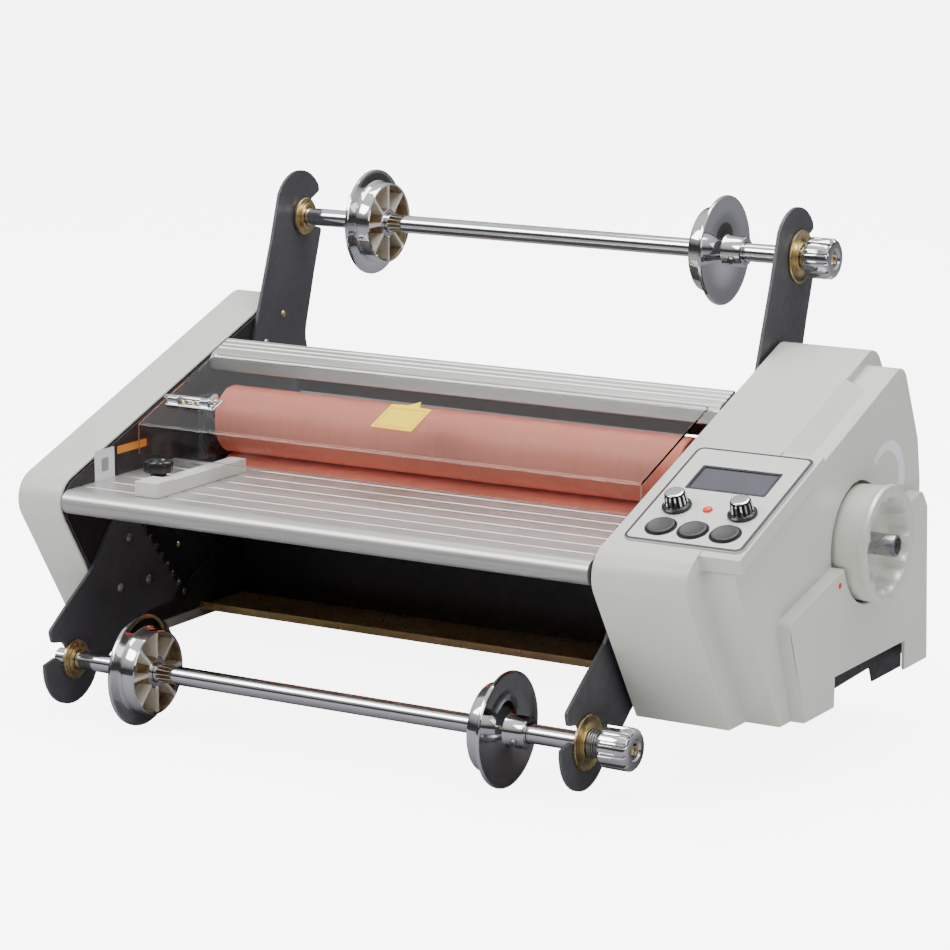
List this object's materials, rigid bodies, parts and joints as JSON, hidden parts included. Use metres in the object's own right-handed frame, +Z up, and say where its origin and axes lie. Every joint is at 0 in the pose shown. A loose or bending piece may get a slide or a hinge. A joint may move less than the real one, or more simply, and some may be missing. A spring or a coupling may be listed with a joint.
{
  "type": "roll laminator",
  "caption": "Bench roll laminator with silicone rollers, ribbed feed table, clear lifting shield, film supply shafts with core chucks, control console and pressure handwheel.",
  "frame": {"origin": "floor centre of the bounding box, level with the lowest point of the lower core flanges", "axes": "+X to the operator's right along the rollers, +Y from the operator to the exit side, +Z up"},
  "size_m": [0.7294, 0.4696, 0.4475],
  "materials": {
    "cover_moulding": "fine textured light warm grey moulding",
    "frame_black": "satin black powder coat",
    "arm_grey": "satin dark grey powder coat",
    "zinc_plate": "yellow passivated zinc plate",
    "runner_plastic": "matt grey",
    "aluminium": "satin anodised extrusion",
    "black_plastic": "satin black",
    "guide_paint": "light grey paint",
    "clear_sheet": "clear polycarbonate sheet",
    "chrome": "polished chrome plate",
    "silicone": "smooth salmon silicone rubber",
    "steel": "turned steel",
    "supply_case": "plain sheet case",
    "brass": "satin brass",
    "panel_overlay": "printed light grey overlay with a dark border",
    "screen": "dark grey display window",
    "red_lamp": "translucent red",
    "circuit_board": "green laminate",
    "handwheel_silver": "satin silver casting"
  },
  "bodies": {
    "frame": {"left_cover": "cover_moulding", "right_cover": "cover_moulding", "left_side_plate": "frame_black", "right_side_plate": "frame_black", "left_upper_arm": "arm_grey", "right_upper_arm": "arm_grey", "left_lower_arm": "arm_grey", "right_lower_arm": "arm_grey", "bottom_pan": "zinc_plate", "inner_wall": "frame_black", "left_base_runner": "runner_plastic", "right_base_runner": "runner_plastic", "top_rail": "aluminium", "rear_hood": "frame_black", "rear_panel": "frame_black", "power_inlet": "black_plastic", "feed_table": "aluminium", "control_panel": "panel_overlay", "display_window": "screen", "status_lamp": "red_lamp", "control_board": "circuit_board", "drive_motor": "steel", "power_supply": "supply_case", "lower_heater": "steel", "upper_shaft_bush": "brass", "lower_shaft_bush": "brass"},
    "lift_carriage": {"left_lift_block": "steel", "right_lift_block": "steel", "upper_heater": "steel"},
    "upper_heat_roller": {"upper_heat_roller": "silicone", "upper_roller_gear": "steel"},
    "lower_heat_roller": {"lower_heat_roller": "silicone", "lower_roller_gear": "steel"},
    "upper_pull_roller": {"upper_pull_roller": "silicone"},
    "lower_pull_roller": {"lower_pull_roller": "silicone", "pull_roller_gear": "steel"},
    "idler_gear": {"idler_gear": "steel"},
    "drive_pinion": {"drive_pinion": "steel"},
    "handwheel": {"pressure_handwheel": "handwheel_silver", "handwheel_axle": "steel"},
    "shield": {"safety_shield": "clear_sheet", "shield_latch": "chrome"},
    "side_guide": {"side_guide": "guide_paint"},
    "guide_clamp_knob": {"guide_clamp_knob": "black_plastic"},
    "upper_shaft": {"upper_film_shaft": "chrome", "upper_clutch_disc": "brass"},
    "lower_shaft": {"lower_film_shaft": "chrome", "lower_clutch_disc": "brass"},
    "upper_left_chuck": {"upper_left_chuck": "chrome"},
    "upper_right_chuck": {"upper_right_chuck": "chrome"},
    "lower_left_chuck": {"lower_left_chuck": "chrome"},
    "lower_right_chuck": {"lower_right_chuck": "chrome"},
    "upper_tension_knob": {"upper_tension_knob": "chrome"},
    "lower_tension_knob": {"lower_tension_knob": "chrome"},
    "speed_knob": {"speed_knob": "black_plastic"},
    "temperature_knob": {"temperature_knob": "black_plastic"},
    "start_button": {"start_button": "black_plastic"},
    "stop_button": {"stop_button": "black_plastic"},
    "reverse_button": {"reverse_button": "black_plastic"},
    "power_switch": {"power_switch": "black_plastic"}
  },
  "joints": [
    {"name": "handwheel_turn", "type": "hinge", "parent": "frame", "child": "handwheel", "pos_m": [0.34025, 0.05775, 0.1825], "axis": [1, 0, 0], "range_deg": [0, 180]},
    {"name": "roller_lift", "type": "slide", "parent": "frame", "child": "lift_carriage", "axis": [0, 0, 1], "range_m": [0, 0.004]},
    {"name": "upper_heat_roller_spin", "type": "hinge", "parent": "lift_carriage", "child": "upper_heat_roller", "pos_m": [-0.05275, 0.03275, 0.2305], "axis": [1, 0, 0], "continuous": true},
    {"name": "lower_heat_roller_spin", "type": "hinge", "parent": "frame", "child": "lower_heat_roller", "pos_m": [-0.05275, 0.03275, 0.1695], "axis": [1, 0, 0], "continuous": true},
    {"name": "upper_pull_roller_spin", "type": "hinge", "parent": "frame", "child": "upper_pull_roller", "pos_m": [-0.05275, 0.11475, 0.2205], "axis": [1, 0, 0], "continuous": true},
    {"name": "lower_pull_roller_spin", "type": "hinge", "parent": "frame", "child": "lower_pull_roller", "pos_m": [-0.05275, 0.11475, 0.1795], "axis": [1, 0, 0], "continuous": true},
    {"name": "idler_gear_spin", "type": "hinge", "parent": "frame", "child": "idler_gear", "pos_m": [-0.32475, 0.07952, 0.16959], "axis": [1, 0, 0], "continuous": true},
    {"name": "drive_pinion_spin", "type": "hinge", "parent": "frame", "child": "drive_pinion", "pos_m": [-0.32475, 0.11975, 0.14427], "axis": [1, 0, 0], "continuous": true},
    {"name": "shield_lift", "type": "hinge", "parent": "frame", "child": "shield", "pos_m": [-0.05475, 0.03015, 0.287], "axis": [-1, 0, 0], "range_deg": [0, 95]},
    {"name": "side_guide_slide", "type": "slide", "parent": "frame", "child": "side_guide", "axis": [1, 0, 0], "range_m": [-0.04, 0.38]},
    {"name": "guide_clamp_turn", "type": "hinge", "parent": "side_guide", "child": "guide_clamp_knob", "pos_m": [-0.25075, -0.13825, 0.2185], "axis": [0, 0, 1], "range_deg": [-180, 180]},
    {"name": "upper_shaft_spin", "type": "hinge", "parent": "frame", "child": "upper_shaft", "pos_m": [-0.05275, 0.18575, 0.3985], "axis": [1, 0, 0], "continuous": true},
    {"name": "lower_shaft_spin", "type": "hinge", "parent": "frame", "child": "lower_shaft", "pos_m": [-0.05275, -0.18575, 0.049], "axis": [1, 0, 0], "continuous": true},
    {"name": "upper_left_chuck_slide", "type": "slide", "parent": "upper_shaft", "child": "upper_left_chuck", "axis": [1, 0, 0], "range_m": [-0.045, 0.15]},
    {"name": "upper_right_chuck_slide", "type": "slide", "parent": "upper_shaft", "child": "upper_right_chuck", "axis": [1, 0, 0], "range_m": [-0.15, 0.04]},
    {"name": "lower_left_chuck_slide", "type": "slide", "parent": "lower_shaft", "child": "lower_left_chuck", "axis": [1, 0, 0], "range_m": [-0.04, 0.15]},
    {"name": "lower_right_chuck_slide", "type": "slide", "parent": "lower_shaft", "child": "lower_right_chuck", "axis": [1, 0, 0], "range_m": [-0.15, 0.04]},
    {"name": "upper_tension_turn", "type": "hinge", "parent": "upper_shaft", "child": "upper_tension_knob", "pos_m": [0.22725, 0.18575, 0.3985], "axis": [1, 0, 0], "range_deg": [-360, 360]},
    {"name": "lower_tension_turn", "type": "hinge", "parent": "lower_shaft", "child": "lower_tension_knob", "pos_m": [0.23425, -0.18575, 0.049], "axis": [1, 0, 0], "range_deg": [-360, 360]},
    {"name": "speed_knob_turn", "type": "hinge", "parent": "frame", "child": "speed_knob", "pos_m": [0.24775, -0.11536, 0.23386], "axis": [0, -0.3519, 0.936], "range_deg": [-150, 150]},
    {"name": "temperature_knob_turn", "type": "hinge", "parent": "frame", "child": "temperature_knob", "pos_m": [0.30675, -0.11536, 0.23386], "axis": [0, -0.3519, 0.936], "range_deg": [-150, 150]},
    {"name": "start_button_press", "type": "slide", "parent": "frame", "child": "start_button", "axis": [0, 0.3519, -0.936], "range_m": [0, 0.0015], "stiffness_N_per_m": 300},
    {"name": "stop_button_press", "type": "slide", "parent": "frame", "child": "stop_button", "axis": [0, 0.3519, -0.936], "range_m": [0, 0.0015], "stiffness_N_per_m": 300},
    {"name": "reverse_button_press", "type": "slide", "parent": "frame", "child": "reverse_button", "axis": [0, 0.3519, -0.936], "range_m": [0, 0.0015], "stiffness_N_per_m": 300},
    {"name": "power_switch_rock", "type": "hinge", "parent": "frame", "child": "power_switch", "pos_m": [0.13125, 0.17775, 0.085], "axis": [-1, 0, 0], "range_deg": [0, 13]}
  ],
  "couplings": [
    {"joint": "handwheel_turn", "follows": "roller_lift", "rad_per_m": 785.4},
    {"joint": "upper_heat_roller_spin", "follows": "lower_heat_roller_spin", "ratio": -1},
    {"joint": "idler_gear_spin", "follows": "lower_heat_roller_spin", "ratio": -1.875},
    {"joint": "lower_pull_roller_spin", "follows": "lower_heat_roller_spin", "ratio": 1.5},
    {"joint": "upper_pull_roller_spin", "follows": "lower_heat_roller_spin", "ratio": -1.5},
    {"joint": "drive_pinion_spin", "follows": "lower_heat_roller_spin", "ratio": -2}
  ]
}
